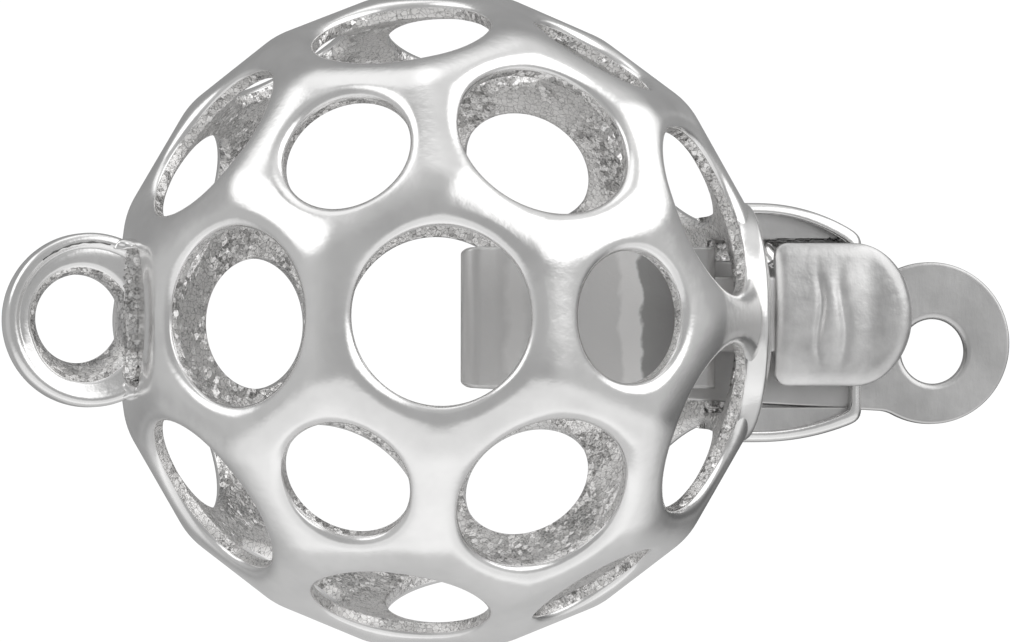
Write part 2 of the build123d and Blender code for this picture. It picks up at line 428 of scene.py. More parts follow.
def ball_cell(index, sites, corners):
    """Rows of points over one face of the ball and where its rough part begins."""
    out, core, hole, kind = sites[index]
    border, flat, first, second = cell_border(index, sites, corners)
    polygon = np.stack([flat @ first, flat @ second], 1)
    border_flat = np.stack([border @ first, border @ second], 1)
    way = unit(border_flat)

    def height(points):
        gap = polygon_distance(points, polygon)
        return core + np.sqrt(ridge_round**2 - gap**2)

    def lifted(radius, level):
        spots = way * np.reshape(radius, (-1, 1))
        return spots[:, :1] * first + spots[:, 1:] * second + np.reshape(level, (-1, 1)) * out

    spread = small_edge_spread if hole == small_hole else large_edge_spread
    edge = plate_radius + plate_edge_round if kind == "plate" else hole + spread
    rows = [border]
    for share in (0.16, 0.34, 0.52, 0.7, 0.86, 1.0):
        flat_points = border_flat + share * (way * edge - border_flat)
        rows.append(lifted(np.linalg.norm(flat_points, axis=1), height(flat_points)))
    if kind == "plate":
        more, smooth = plate_rows(lifted, float(height(way * edge).mean()))
    else:
        more, smooth = hole_rows(lifted, height, way, hole, spread)
    rough_from = len(rows) + smooth
    rows += more
    start = unit(rows[-1])
    end = unit(border)
    for share in (0.25, 0.5, 0.75, 1.0):
        rows.append(inner_radius * unit(start + share * (end - start)))
    return rows, rough_from


def ball(polished, rough):
    """The pierced ball, polished outside and rough in its holes and inside."""
    sites = ball_sites()
    corners = core_corners(sites)
    points = []
    faces = []
    kinds = []
    offset = 0
    for index in range(len(sites)):
        rows, rough_from = ball_cell(index, sites, corners)
        count = len(rows[0])
        faces += ring_faces(rows, first=offset)
        kinds += [int(row >= rough_from) for row in range(len(rows) - 1) for _ in range(count)]
        points += rows
        offset += count * len(rows)
    points = np.concatenate(points)
    faces, kinds, points = without_slot(points, faces, kinds)
    return make_piece("ball", points, faces, [polished, rough], kinds)


def without_slot(points, faces, kinds):
    """The ball's faces without those that the slot cuts away."""
    kept = []
    kept_kinds = []
    low = np.array([slot_front - slot_margin, slot_low - slot_margin])
    high = np.array([slot_back + slot_margin, slot_high + slot_margin])
    points = points.copy()
    flat = points[:, 1:]
    inside = (points[:, 0] > 0) & (flat > low).all(1) & (flat < high).all(1)
    for face, kind in zip(faces, kinds):
        if inside[list(face)].all():
            continue
        kept.append(face)
        kept_kinds.append(kind)
    touched = {i for face in kept for i in face if inside[i]}
    for i in touched:
        gaps = np.concatenate([flat[i] - low, high - flat[i]])
        side = int(np.argmin(gaps))
        value = (low[0], low[1], high[0], high[1])[side]
        points[i, 1 + side % 2] = value
    return kept, kept_kinds, points


def slot_outline():
    """Points round the slot, with its corners rounded."""
    back = slot_back - slot_corner
    front = slot_front + slot_corner
    high = slot_high - slot_corner
    low = slot_low + slot_corner
    corners = []
    for step, middle in enumerate(((back, high), (front, high), (front, low), (back, low))):
        corners.append(arc_points(middle, slot_corner, 90 * step, 90 * step + 90, 7))
    outline = []
    for step, corner in enumerate(corners):
        count = 30 if step % 2 == 0 else 12
        outline.append(corner)
        outline.append(line_points(corner[-1], corners[(step + 1) % 4][0], count))
    return np.concatenate(outline)


def on_sphere(flat, radius):
    """Points at flat places, lifted along the axis onto a sphere round the centre."""
    reach = np.sqrt(np.maximum(radius**2 - (flat**2).sum(1), 0))
    return np.column_stack([reach, flat])


def collar(polished, rough):
    """The thick cap with the slot, with a wall that runs through the ball's own."""
    inner = slot_outline()
    middle = np.array([(slot_front + slot_back) / 2, (slot_low + slot_high) / 2])
    way = unit(inner - middle)
    along = -(way @ middle)

    def circle(radius):
        return middle + way * (along + np.sqrt(along**2 - middle @ middle + radius**2))[:, None]

    rows = [on_sphere(inner, collar_inside)]
    top = on_sphere(inner, collar_face)[:, 0] - slot_edge_round
    start = rows[0][:, 0]
    for share in (0.33, 0.66, 1.0):
        rows.append(np.column_stack([start + share * (top - start), inner]))
    for share in (0.33, 0.66, 1.0):
        angle = share * pi / 2
        flat = inner + way * slot_edge_round * (1 - cos(angle))
        face = on_sphere(flat, collar_face)
        face[:, 0] -= slot_edge_round * (1 - sin(angle))
        rows.append(face)
    face_start = inner + way * slot_edge_round
    edge = collar_radius - collar_round
    face_end = circle(edge)
    for share in (0.08, 0.25, 0.45, 0.65, 0.85, 1.0):
        rows.append(on_sphere(face_start + share * (face_end - face_start), collar_face))
    level = sqrt(collar_face**2 - edge**2)
    for share in (0.25, 0.5, 0.75, 1.0):
        angle = share * pi / 2
        flat = circle(edge + collar_round * sin(angle))
        reach = np.full((len(flat), 1), level - collar_round * (1 - cos(angle)))
        rows.append(np.column_stack([reach, flat]))
    high = level - collar_round
    rim = circle(collar_radius)
    ridge = (0.5 + 0.5 * np.cos(5 * np.arctan2(rim[:, 0], rim[:, 1]))) ** 1.5
    for share in (0.12, 0.25, 0.4, 0.55, 0.7, 0.85, 1.0):
        angle = share * pi / 2
        flare = collar_radius + collar_flare * ridge * (1 - cos(angle))
        flat = rim * (flare / collar_radius)[:, None]
        foot = np.sqrt(collar_foot**2 - (collar_radius + collar_flare * ridge) ** 2)
        rows.append(np.column_stack([high + sin(angle) * (foot - high), flat]))
    rows.append(on_sphere(inner + way * collar_back_lap, collar_back))
    rows.append(rows[0])
    faces = ring_faces(rows)
    count = len(inner)
    rough_rows = (0, 1, 2, len(rows) - 3, len(rows) - 2)
    kinds = [1 if number // count in rough_rows else 0 for number in range(len(faces))]
    return make_piece("collar", np.concatenate(rows), faces, [polished, rough], kinds)


def ring_outline(way, inset):
    """The thread ring's outer line as seen from its hole, drawn inwards by the inset."""
    bore_middle = np.array([-thread_bore_centre, 0.0])
    ring_middle = np.array([-thread_ring_centre, thread_ring_side])
    off = bore_middle - ring_middle
    radius = thread_ring_radius - inset
    spots = []
    for step in way:
        along = -(step @ off)
        arc = along + sqrt(along**2 - off @ off + radius**2)
        for side in (-1, 1):
            normal = np.array([sin(flank_lean), side * cos(flank_lean)])
            if step @ normal > 1e-6 and (bore_middle + arc * step)[0] > ring_middle[0]:
                arc = min(arc, (radius - off @ normal) / (step @ normal))
        if step[0] > 1e-6:
            arc = min(arc, (thread_bore_centre - thread_root) / step[0])
        spots.append(bore_middle + arc * step)
    return np.array(spots)


def bore_outline(way, inset):
    """The line round the thread ring's hole, cut off by the bar at the ring's root."""
    bore_middle = np.array([-thread_bore_centre, 0.0])
    spots = bore_middle + way * (thread_bore_radius + inset)[:, None]
    spots[:, 0] = np.minimum(spots[:, 0], -thread_bar + 0.4 * inset)
    return spots


def thread_ring(polished, rough, grainy):
    """The thread ring: a raised round rim, a dished face and a rough bevel at its hole."""
    turns = np.linspace(0, 2 * pi, 201)[:-1]
    way = np.column_stack([np.cos(turns), np.sin(turns)])
    below = np.clip(-np.sin(turns - 0.35), 0, 1) ** 1.5
    above = np.clip(np.sin(turns - 0.5), 0, 1)
    half = thread_ring_thickness / 2
    bevel = thread_bore_round + thread_bevel * below
    rows = []
    kinds = []

    def add(flat, level, kind=0):
        rows.append(at_level(flat, level))
        kinds.append(kind)

    # Up the hole's wall and over its bevel, which is wider below
    add(bore_outline(way, 0 * bevel), -half + thread_bore_round, 1)
    for share, drop, steepness in ((0.0, 0.15, 1.2), (0.45, 0.12, 0.6), (0.8, 0.1, 0.2)):
        add(bore_outline(way, share * bevel), half - drop - steepness * bevel, 1)
    add(bore_outline(way, bevel + 0.03), half - 0.08 - 0.03 * bevel)
    # Across the dished face and over the rim
    inner = bore_outline(way, bevel + 0.06)
    rim = ring_outline(way, thread_rim)
    for share in (0.0, 0.2, 0.45, 0.7, 0.88, 1.0):
        dish = -0.055 + 0.025 * share - 0.05 * above * share**4
        add(inner + share * (rim - inner), half + dish)
    for turn in np.radians((-50, -20, 10, 35, 60, 80, 90)):
        inset = thread_rim * (0.5 - 0.5 * sin(turn))
        drop = thread_rim * (0.55 - 0.55 * cos(turn)) if turn > 0 else 0.06 * (1 - cos(turn))
        add(ring_outline(way, inset), half - drop)
    # Round the outer edge and the hole's edge on the under side
    for turn in np.radians((90, 70, 50, 30, 10, 0)):
        inset = thread_ring_round * (1 - sin(turn))
        add(ring_outline(way, inset), -half + thread_ring_round * (1 - cos(turn)))
    for turn in np.radians((0, 30, 60, 90)):
        inset = thread_bore_round * (1 - sin(turn)) * np.ones(len(way))
        add(bore_outline(way, inset), -half + thread_bore_round * (1 - cos(turn)))
    points = np.concatenate(rows)
    faces = ring_faces(rows)
    face_kinds = []
    for number, face in enumerate(faces):
        at_base = points[list(face), 0].mean() > -thread_bar + 0.05
        face_kinds.append(2 if at_base else kinds[number // len(way)])
    return make_piece("thread_ring", points, faces, [polished, rough, grainy], face_kinds)


def solder_bead(name, middle, size, material, lean=(0, 0)):
    """A small uneven bead of solder, whose top may lean along and across the clasp."""
    bm = bmesh.new()
    bmesh.ops.create_icosphere(bm, subdivisions=4, radius=1.0)
    points = np.array([vert.co for vert in bm.verts])
    faces = [tuple(vert.index for vert in face.verts) for face in bm.faces]
    bm.free()
    swell = 1 + 0.12 * np.sin(points @ (3.1, 2.3, 1.7)) + 0.08 * np.sin(points @ (-5.0, 4.1, 2.9))
    points = points * swell[:, None] * np.array(size)
    points[:, 2] -= points[:, :2] @ lean
    points += middle
    return make_piece(name, points, faces, [material])


def outward(outline):
    """Unit vectors that point out of a closed outline that runs anticlockwise."""
    side = unit(np.roll(outline, -1, 0) - np.roll(outline, 1, 0))
    return np.column_stack([side[:, 1], -side[:, 0]])


def plate_loops(outline, low, high, edge, inward=False):
    """Rows from the under side of a flat plate, over its rounded edge, to the top."""
    way = outward(outline)
    if inward:
        way = -way
    rows = []
    for level, lift in ((low, -1), (high, 1)):
        part = [at_level(outline - way * inset, level) for inset in (edge + 0.02, edge)]
        for share in (0.33, 0.66, 1.0):
            angle = share * pi / 2
            inset = edge * (1 - sin(angle))
            height = level - lift * edge * (1 - cos(angle))
            part.append(at_level(outline - way * inset, height))
        rows.extend(part if lift < 0 else reversed(part))
    return rows


def flat_plate(outlines, low, high, edges):
    """Points and faces of a plate with rounded edges; later outlines are its holes."""
    points = []
    faces = []
    offset = 0
    ends = {"low": [], "high": []}
    for number, outline in enumerate(outlines):
        rows = plate_loops(outline, low, high, edges[number], inward=number > 0)
        count = len(outline)
        faces += ring_faces(rows, first=offset)
        points.extend(rows)
        ends["low"].append(range(offset, offset + count))
        ends["high"].append(range(offset + count * (len(rows) - 1), offset + count * len(rows)))
        offset += count * len(rows)
    points = np.concatenate(points)
    for loops in ends.values():
        faces.extend(filled(points, loops))
    return points, faces


def filled(points, loops):
    """Triangles that fill the area between one outer loop and the loops inside it."""
    bm = bmesh.new()
    verts = {}
    for loop in loops:
        for i in loop:
            verts[i] = bm.verts.new((points[i][0], points[i][1], 0))
        loop = list(loop)
        for i, j in zip(loop, loop[1:] + loop[:1]):
            bm.edges.new((verts[i], verts[j]))
    back = {vert: i for i, vert in verts.items()}
    bmesh.ops.triangle_fill(bm, use_beauty=True, edges=bm.edges, normal=(0, 0, 1))
    result = [tuple(back[vert] for vert in face.verts) for face in bm.faces]
    bm.free()
    return result


def leaf_outline():
    """The lower leaf and its end ring in one line, with flared inner corners."""
    skew = atan((end_ring_side - strip_side) / (end_ring_reach - fold_reach))
    way = np.array([cos(skew), sin(skew)])
    side = np.array([-sin(skew), cos(skew)])
    middle = np.array([end_ring_reach, end_ring_side])
    half = strip_width / 2
    flare = end_neck_flare
    along = sqrt((end_ring_radius + flare) ** 2 - (half + flare) ** 2)
    corner = degrees(atan2(half + flare, along))
    turn = degrees(skew)
    start = np.array([fold_reach + 0.01, strip_side])
    start_front = start - side * half
    start_back = start + side * half
    front_corner = middle - way * along - side * (half + flare)
    back_corner = middle - way * along + side * (half + flare)
    front_flare = arc_points(front_corner, flare, 90 + turn, corner + turn, 8)
    ring = arc_points(middle, end_ring_radius, -180 + corner + turn, 180 - corner + turn, 90)
    back_flare = arc_points(back_corner, flare, -corner + turn, -90 + turn, 8)
    front_run = np.linspace(start_front, front_flare[0], 30)[:-1]
    back_run = np.linspace(back_flare[-1], start_back, 30)[1:]
    end_run = line_points(start_back, start_front, 14)
    return np.concatenate([front_run, front_flare, ring[1:-1], back_flare, back_run, end_run])


def lower_leaf(material):
    """The lower leaf with the end ring and its bevelled hole."""
    bore = arc_points((end_bore_reach, end_bore_side), end_bore_radius, 0, 360, 65)[:-1]
    edges = (leaf_edge_round, end_bore_bevel)
    points, faces = flat_plate([leaf_outline(), bore], leaf_low, leaf_top, edges)
    return make_piece("lower_leaf", points, faces, [material])


def strip_path():
    """The middle line of the fold and the upper leaf, up to the shoulders."""
    fold_top = fold_height + fold_middle_radius
    start = np.array([lever_start, fold_top])
    end = np.array([shoulder_reach, shoulder_top - strip_thickness / 2])
    shares = np.linspace(0.015, 0.985, 24)[:, None]
    return np.concatenate([
        [(fold_reach + 0.05, fold_height - fold_middle_radius)],
        arc_points((fold_reach, fold_height), fold_middle_radius, 270, 90, 17),
        [(lever_start - 0.05, fold_top)],
        start + shares * (end - start),
    ])


def strip_rows(path, half_width, side, thickness):
    """Rows of a rounded flat section along a path in the clasp's upright plane."""
    way = unit(np.gradient(path, axis=0))
    up = np.column_stack([-way[:, 1], way[:, 0]])
    edge = strip_edge_round
    flat = thickness / 2 - edge
    section = []
    for centre_side, centre_level, first in ((1, 1, 0), (-1, 1, 90), (-1, -1, 180), (1, -1, 270)):
        for turn in np.radians(np.linspace(first, first + 90, 5)):
            section.append((centre_side, edge * cos(turn), centre_level * flat + edge * sin(turn)))
    rows = []
    for spot, rise, half in zip(path, up, half_width):
        row = []
        for centre_side, extra, level in section:
            across = side + centre_side * (half - edge) + extra
            row.append((spot[0] + rise[0] * level, across, spot[1] + rise[1] * level))
        rows.append(np.array(row))
    return rows


def closed_strip(rows):
    """Faces of a swept section with both ends closed."""
    faces = ring_faces(rows)
    count = len(rows[0])
    faces.append(tuple(range(count)))
    faces.append(tuple(range(count * (len(rows) - 1), count * len(rows))))
    return faces


def folded_strip(material):
    """The bend of the strip and the sloping upper leaf."""
    path = strip_path()
    nearness = np.clip((fold_reach - path[:, 0]) / fold_middle_radius, 0, 1)
    half = strip_width / 2 - fold_narrowing * nearness**3
    rows = strip_rows(path, half, strip_side, strip_thickness)
    return make_piece("folded_strip", np.concatenate(rows), closed_strip(rows), [material])


def neck(material):
    """The narrow neck between the shoulders and the thumb tab."""
    level = shoulder_top - strip_thickness / 2
    reach = np.linspace(shoulder_reach - neck_lap, neck_reach, 20)
    slope = (level - (fold_height + fold_middle_radius)) / (shoulder_reach - lever_start)
    height = level + np.minimum(reach - shoulder_reach, 0) * slope
    path = np.column_stack([reach, height])
    half = np.full(len(path), neck_width / 2)
    rows = strip_rows(path, half, neck_side, neck_thickness)
    return make_piece("neck", np.concatenate(rows), closed_strip(rows), [material])


def tab_outline():
    """The thumb tab's plan: square with round corners at the left, oval at the right."""
    corner = tab_corner
    start = tab_start + corner
    oval = tab_end - tab_oval_length
    half = tab_width / 2
    back = tab_side + half
    front = tab_side - half
    turns = np.radians(np.linspace(-90, 90, 81))
    right = [oval + tab_oval_length * np.cos(turns), tab_side + half * np.sin(turns)]
    return np.concatenate([
        np.column_stack(right),
        line_points((oval, back), (start, back), 24),
        arc_points((start, back - corner), corner, 90, 180, 9),
        line_points((tab_start, back - corner), (tab_start, front + corner), 42),
        arc_points((start, front + corner), corner, 180, 270, 9),
        line_points((start, front), (oval, front), 24),
    ])


def bump(values, middle, width):
    """A smooth hump of height one."""
    return np.exp(-(((values - middle) / width) ** 2))


def tab_relief(reach, side):
    """How far the pressed grooves, ridge, dip and dome move the tab's top."""
    across = side - tab_side
    reach = reach - tab_start
    fade = 1 / (1 + np.exp((np.abs(across + 0.05) - 0.6) * 9))
    wave = 0.03 * np.sin(across * 5.2 + 0.6)
    second_wave = 0.05 * np.sin(across * 4.0 - 0.4)
    first_groove = -0.04 * bump(reach, 0.69 + wave, 0.06) * fade
    ridge = 0.02 * bump(reach, 0.88 + wave, 0.13) * fade
    second_groove = -0.045 * bump(reach, 1.05 - second_wave, 0.08) * fade
    dip = -0.045 * bump(reach, 1.5, 0.2) * (1 - 0.5 * across**2)
    dome = -(tab_dome_across * (across / 1.1) ** 2 + tab_dome_along * ((reach - 1.1) / 1.1) ** 2)
    return first_groove + ridge + second_groove + dip + dome


def thumb_tab(material):
    """The pressed thumb tab."""
    outline = tab_outline()
    way = outward(outline)
    rows = []
    for inset, lift in ((0.06, 0.0), (0.02, 0.012), (0.0, 0.05)):
        rows.append(at_level(outline - way * inset, tab_low + lift))
    edge_level = tab_top - tab_edge_round
    for angle in np.linspace(0, 1, 8) * pi / 2:
        inset = tab_edge_round * (1 - cos(angle))
        rows.append(at_level(outline - way * inset, edge_level + tab_edge_round * sin(angle)))
    shoulder = outline - way * tab_edge_round
    crown = np.array([tab_start + tab_crown, tab_side])
    for share in np.linspace(0.03, 0.985, 40):
        rows.append(at_level(shoulder + share * (crown - shoulder), tab_top))
    points = np.concatenate(rows)
    share_top = np.clip((points[:, 2] - edge_level) / tab_edge_round, 0, 1)
    points[:, 2] += share_top * tab_relief(points[:, 0], points[:, 1])
    return make_piece("thumb_tab", points, closed_strip(rows), [material])


def curve_to(start, end, count):
    """Points on the arc that leaves the start along the axis and reaches the end."""
    run = end[0] - start[0]
    drop = start[1] - end[1]
    radius = (run**2 + drop**2) / (2 * abs(drop))
    sign = 1 if drop > 0 else -1
    turns = np.linspace(0, asin(run / radius), count)
    across = start[1] - sign * radius * (1 - np.cos(turns))
    return np.column_stack([start[0] + radius * np.sin(turns), across])


def cup_path(inset):
    """The D-shaped line of the cup from its back left end round to its front one."""
    side = collar_radius - inset
    end = cup_end - inset
    back = curve_to((collar_face, side), (end, cup_end_back - inset), 30)
    front = curve_to((collar_face, -side), (end, cup_end_front + inset), 30)[::-1]
    back_end = sqrt(collar_face**2 - side**2) - 0.02
    start = np.linspace((back_end, side), (collar_face, side), 8)[:-1]
    finish = start[::-1] * (1, -1)
    raw = np.concatenate([start, back, front, finish])
    return rounded_corners(raw, cup_corner - inset * 0.6)


def rounded_corners(path, radius):
    """A path with its sharp corners eased, sampled evenly."""
    step = np.linalg.norm(np.diff(path, axis=0), axis=1)
    reach = np.concatenate([[0], np.cumsum(step)])
    even = np.linspace(0, reach[-1], 401)
    fine = np.column_stack([np.interp(even, reach, path[:, k]) for k in (0, 1)])
    width = max(int(radius * 0.75 / (reach[-1] / 400)), 1)
    kernel = np.hanning(2 * width + 3)[1:-1]
    kernel /= kernel.sum()
    before = 2 * fine[0] - fine[width:0:-1]
    after = 2 * fine[-1] - fine[-2:-width - 2:-1]
    padded = np.concatenate([before, fine, after])
    smooth = np.column_stack([np.convolve(padded[:, k], kernel, "valid") for k in (0, 1)])
    return smooth[::4]


def cup_rim_wall(material):
    """The cup's wall, whose rim is widely rounded outside and a little inside."""
    outer = cup_path(0.0)
    inner = cup_path(cup_wall)
    low = cup_floor_top - 0.1
    profile = [(0.0, low), (0.0, cup_rim - rim_outer_drop - 0.01)]
    for angle in np.linspace(0, 1, 7)[1:] * pi / 2:
        profile.append((0.75 * (1 - cos(angle)), cup_rim - rim_outer_drop * (1 - sin(angle))))
    for angle in np.linspace(0, 1, 5)[1:] * pi / 2:
        profile.append((0.8 + 0.2 * sin(angle), cup_rim - rim_inner_drop * (1 - cos(angle))))
    profile.append((1.0, low))
    rows = [at_level(outer + share * (inner - outer), level) for share, level in profile]
    rows.append(rows[0])
    faces = ring_faces(rows, closed=False)
    count = len(outer)
    for end in (0, count - 1):
        faces.append(tuple(count * row + end for row in range(len(rows) - 1)))
    return make_piece("cup_wall", np.concatenate(rows), faces, [material])


def cup_slab(name, back, front, low, high, material):
    """A slab of the cup's floor between two lines along the clasp."""
    path = cup_path(slab_inset)
    sides = np.linspace(front, back, 40)
    right = []
    for side in sides:
        candidates = path[np.abs(path[:, 1] - side) < 0.04]
        right.append(candidates[:, 0].max() if len(candidates) else cup_end - slab_inset)
    middle = (low + high) / 2
    left = np.sqrt((collar_face + cup_gap) ** 2 - sides**2 - middle**2)
    right_line = np.column_stack([right, sides])
    left_line = np.column_stack([left, sides])[::-1]
    low_run = line_points(left_line[-1], right_line[0], 12)
    high_run = line_points(right_line[-1], left_line[0], 12)
    outline = np.concatenate([right_line, high_run, left_line, low_run])
    points, faces = flat_plate([outline], low, high, (0.02,))
    return make_piece(name, points, faces, [material])


def dark_strip(name, path, half, material):
    """A thin ragged dark line that lies along a path."""
    way = np.gradient(path, axis=0)
    side = unit(np.column_stack([-way[:, 1], way[:, 0], 0 * half]))
    shift = 0.25 * half * np.sin(np.arange(len(path)) * 0.9)
    rows = []
    for turn in np.radians(range(0, 360, 45)):
        across = shift + half * cos(turn)
        row = path + side * across[:, None]
        row[:, 2] += 0.02 * sin(turn)
        rows.append(row)
    rows = list(np.transpose(rows, (1, 0, 2)))
    return make_piece(name, np.concatenate(rows), closed_strip(rows), [material])


def cup_painted_shade(material):
    """Painted shade: a dark strip in the gap where the cup's back ledge meets the strip."""
    reach = np.linspace(cup_painted_shade_start, cup_painted_shade_end, 60)
    path = np.column_stack([reach, 0 * reach + cup_painted_shade_side, 0 * reach + cup_floor_top])
    half = 0.022 + 0.012 * np.sin(reach * 23) + 0.008 * np.sin(reach * 61)
    half += 0.03 * bump(reach, 6.2, 0.22)
    return dark_strip("cup_painted_shade", path, half, material)


def ring_seam(material):
    """The dark line inside the thread ring's raised rim."""
    middle = (-thread_ring_centre, thread_ring_side)
    path = arc_points(middle, thread_ring_radius - 0.15, *ring_seam_turns, 50)
    path = at_level(path, thread_ring_thickness / 2 - 0.008)
    turn = np.radians(np.linspace(*ring_seam_turns, 50))
    half = 0.012 + 0.008 * np.sin(turn * 31) * np.sin(turn * 7)
    return dark_strip("ring_seam", path, half, material)


# Materials


def fill(tree, node, values):
    """Link sockets to a node's inputs, or set the inputs to plain values."""
    for key, value in values.items():
        if isinstance(value, bpy.types.NodeSocket):
            tree.links.new(value, node.inputs[key])
        else:
            node.inputs[key].default_value = value


def add_node(tree, kind, values=None, **settings):
    """A node with its settings made and its inputs linked or filled in."""
    node = tree.nodes.new(kind)
    for key, value in settings.items():
        setattr(node, key, value)
    fill(tree, node, values or {})
    return node


def vector_math(tree, operation, *values, result="Vector"):
    """The result of an operation on vectors or colours."""
    inputs = dict(enumerate(values))
    return add_node(tree, "ShaderNodeVectorMath", inputs, operation=operation).outputs[result]


def number_math(tree, operation, *values):
    """The result of an operation on numbers."""
    inputs = dict(enumerate(values))
    return add_node(tree, "ShaderNodeMath", inputs, operation=operation).outputs["Value"]


def map_range(tree, value, start, end, low, high, kind="LINEAR"):
    """A value carried from the range between start and end to that between low and high."""
    inputs = {"Value": value, "From Min": start, "From Max": end, "To Min": low, "To Max": high}
    node = add_node(tree, "ShaderNodeMapRange", inputs, interpolation_type=kind)
    return node.outputs["Result"]


def noise(tree, place, scale, detail, roughness=0.6):
    """Cloudy noise between zero and one."""
    inputs = {"Vector": place, "Scale": scale, "Detail": detail, "Roughness": roughness}
    return add_node(tree, "ShaderNodeTexNoise", inputs).outputs["Fac"]


def bumped(tree, height, depth, **below):
    """The surface's direction after a bump of a depth in mm, over the one below it."""
    inputs = {"Strength": 1.0, "Distance": depth * MM, "Height": height, **below}
    return add_node(tree, "ShaderNodeBump", inputs).outputs["Normal"]


def ramp(tree, stops, value):
    """A colour ramp of greys between positions, fed by a value."""
    node = add_node(tree, "ShaderNodeValToRGB", {"Fac": value})
    elements = node.color_ramp.elements
    while len(elements) < len(stops):
        elements.new(0.5)
    for element, (position, grey) in zip(elements, stops):
        element.position = position
        element.color = (grey, grey * 0.995, grey * 0.99, 1)
    return node.outputs["Color"]


def new_material(name):
    """A metal with its node tree, its shader and the place on the object."""
    material = bpy.data.materials.new(name)
    material.use_nodes = True
    tree = material.node_tree
    shader = tree.nodes["Principled BSDF"]
    shader.inputs["Metallic"].default_value = 1.0
    place = add_node(tree, "ShaderNodeTexCoord").outputs["Object"]
    return material, tree, shader, place


def silver(name, colour, roughness, grain, bump_depth, scale, stretch, unevenness, clouds=0.045):
    """Silver with an uneven surface: cloudy roughness and colour, and a shallow grain."""
    material, tree, shader, place = new_material(name)
    inputs = {"Vector": place, "Scale": stretch}
    stretched = add_node(tree, "ShaderNodeMapping", inputs).outputs["Vector"]
    fine = noise(tree, stretched, scale, 4.0)
    cloud = noise(tree, place, 900.0, 5.0)
    waves = bumped(tree, cloud, unevenness)
    fill(tree, shader, {
        "Base Color": ramp(tree, ((0.35, colour - clouds), (0.65, colour + clouds)), cloud),
        "Roughness": map_range(tree, cloud, 0.3, 0.7, roughness - grain, roughness + grain),
        "Normal": bumped(tree, fine, bump_depth, Normal=waves),
    })
    return material


def cast_silver(name, tone):
    """Silver as it comes from the mould: pitted, with cracked bright facets in places."""
    material, tree, shader, place = new_material(name)
    grit = noise(tree, place, 24000.0, 2.0)
    patches = noise(tree, place, 1300.0, 2.0, 0.5)
    inputs = {"Vector": place, "Scale": 11500.0}
    cells = add_node(tree, "ShaderNodeTexVoronoi", inputs).outputs["Color"]
    cracks = add_node(tree, "ShaderNodeTexVoronoi", inputs, feature="DISTANCE_TO_EDGE")
    pitted = number_math(tree, "MULTIPLY_ADD", patches, 0.45, grit)
    pits = ramp(tree, ((0.58, 0.5 * tone), (0.67, 0.98 * tone)), pitted)
    lines = ramp(tree, ((0.0, 0.5), (0.07, 1.0)), cracks.outputs["Distance"])
    # Each cell of the casting leans its own way, less where it is worn
    tilt = vector_math(tree, "SUBTRACT", cells, (0.5, 0.5, 0.5))
    share = map_range(tree, patches, 0.42, 0.6, 1.0, 0.12)
    facet = add_node(tree, "ShaderNodeVectorMath", {0: tilt, "Scale": share}, operation="SCALE")
    facing = add_node(tree, "ShaderNodeNewGeometry").outputs["Normal"]
    leaning = vector_math(tree, "ADD", facing, facet.outputs["Vector"])
    straight = vector_math(tree, "NORMALIZE", leaning)
    fill(tree, shader, {
        "Base Color": vector_math(tree, "MULTIPLY", pits, lines),
        "Roughness": 0.28,
        "Normal": bumped(tree, grit, 0.012, Normal=straight),
    })
    return material


def wear_and_light_strip(name):
    """Satin strip with bands along the upper leaf: scuffs, tarnish, painted highlights and shade.
    """
    material, tree, shader, place = new_material(name)
    ragged = noise(tree, place, 1500.0, 4.0, 0.55)
    reach = add_node(tree, "ShaderNodeSeparateXYZ", {"Vector": place}).outputs["X"]
    along = map_range(tree, reach, -0.5 * MM, 3.0 * MM, 0.0, 1.0)
    shifted = number_math(tree, "MULTIPLY_ADD", ragged, 0.12, along)
    # The ramp paints the bands: scuffs and tarnish, with painted highlights and painted shade
    fill(tree, shader, {
        "Base Color": ramp(tree, STRIP_BANDS, shifted),
        "Roughness": 0.34,
        "Normal": bumped(tree, noise(tree, place, 6000.0, 4.0), 0.004),
    })
    return material


# Each silver's colour, roughness, spread of roughness, grain depth in mm, grain scale,
# stretch of the grain and unevenness in mm, and for one the spread of its colour
even = (1, 1, 1)
polished = silver("polished_silver", 0.87, 0.19, 0.06, 0.0015, 9000.0, even, 0.012)
satin = silver("satin_silver", 0.66, 0.34, 0.06, 0.004, 6000.0, (1, 0.25, 1), 0.012)
pressed = silver("pressed_silver", 0.66, 0.36, 0.08, 0.004, 4000.0, (1, 0.4, 1), 0.03, 0.13)
grainy = cast_silver("worn_cast_silver", 0.7)
rough = cast_silver("cast_silver", 1.0)
wear_and_light = wear_and_light_strip("wear_and_light_strip")
# Near black: painted shade by the cup's back ledge, and the thread ring's dark line
dark_lines = silver("dark_line_silver", 0.2, 0.5, 0.1, 0.01, 9000.0, even, 0.02)

# The ball, its collar and the thread ring
pieces = [
    ball(polished, rough),
    collar(polished, rough),
    thread_ring(polished, rough, grainy),
    solder_bead("solder_back", (-4.88, 1.13, 0.26), (0.27, 0.1, 0.13), polished, (0.2, 0.3)),
    solder_bead("solder_front", (-4.86, -0.72, 0.3), (0.14, 0.24, 0.1), rough),
    solder_bead(
        "solder_front_corner", (-4.86, -1.1, 0.22), (0.2, 0.16, 0.14), polished, (0.1, 0.2)
    ),
    ring_seam(dark_lines),
]
for piece in pieces:
    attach(piece, "cage")
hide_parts("ball_cage")

# The tongue
leaf = lower_leaf(satin)
cup_pieces = [
    cup_rim_wall(polished),
    cup_slab("cup_floor", cup_floor_side, -cup_floor_side, cup_bottom, leaf_low, satin),
    cup_slab("cup_back_ledge", ledge_side, slot_back, ledge_low, cup_floor_top, satin),
    cup_slab("cup_front_ledge", front_ledge_inner, -ledge_side, ledge_low, cup_floor_top, satin),
    # Painted shade: a dark strip in the gap along the back ledge
    cup_painted_shade(dark_lines),
    solder_bead("cup_solder", (5.4, 1.04, -0.6), (0.2, 0.2, 0.1), polished, (0.5, 0.45)),
]
for piece in [leaf] + cup_pieces:
    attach(piece, "tongue")
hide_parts("tongue")

